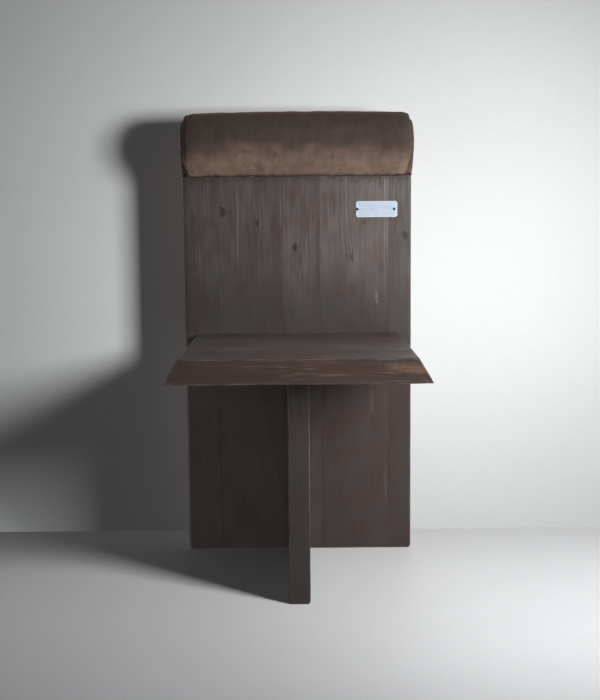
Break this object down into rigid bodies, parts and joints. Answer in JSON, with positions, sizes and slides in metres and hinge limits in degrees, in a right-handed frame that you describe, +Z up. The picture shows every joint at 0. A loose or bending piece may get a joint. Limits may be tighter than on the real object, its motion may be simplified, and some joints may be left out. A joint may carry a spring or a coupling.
{
  "type": "side chair",
  "caption": "Armless wooden side chair: a flat plank back down to the floor, a bevelled plank seat on an upright fin leg, and a velvet bolster along the top of the back.",
  "frame": {"origin": "on the floor, at the centre of the chair's bounding box seen from above", "axes": "+Z up; -Y is the front, where the sitter's legs go; +X is to the right of someone looking at the chair's front"},
  "size_m": [0.469, 0.5515, 0.8972],
  "materials": {
    "stained_wood": "dark grey-brown stain under a thin satin oil, open straight softwood grain, worn to brown on the seat's front bevel",
    "dowel_wood": "bare pale wood",
    "velvet": "short brown velvet pile, crushed in places",
    "foam": "open-cell foam",
    "zinc_steel": "zinc plated",
    "insert_brass": "machined",
    "plate_metal": "satin, bare, with a raised bright rim",
    "screw_metal": "blackened"
  },
  "bodies": {
    "root": {"back_stave_1": "stained_wood", "back_stave_2": "stained_wood", "back_stave_3": "stained_wood", "back_stave_4": "stained_wood", "back_stave_5": "stained_wood", "fin_board_rear": "stained_wood", "fin_board_middle": "stained_wood", "fin_board_front": "stained_wood", "seat_board_rear": "stained_wood", "seat_board_middle": "stained_wood", "seat_board_front": "stained_wood", "seat_to_back_dowels": "dowel_wood", "fin_to_back_dowels": "dowel_wood", "seat_to_fin_dowels": "dowel_wood", "bolster_sleeve": "velvet", "bolster_cap_left": "velvet", "bolster_cap_right": "velvet", "bolster_foam": "foam", "bolster_core": "dowel_wood", "bolster_bolts": "zinc_steel", "bolt_inserts": "insert_brass", "plate": "plate_metal", "plate_screws": "screw_metal"}
  },
  "joints": []
}
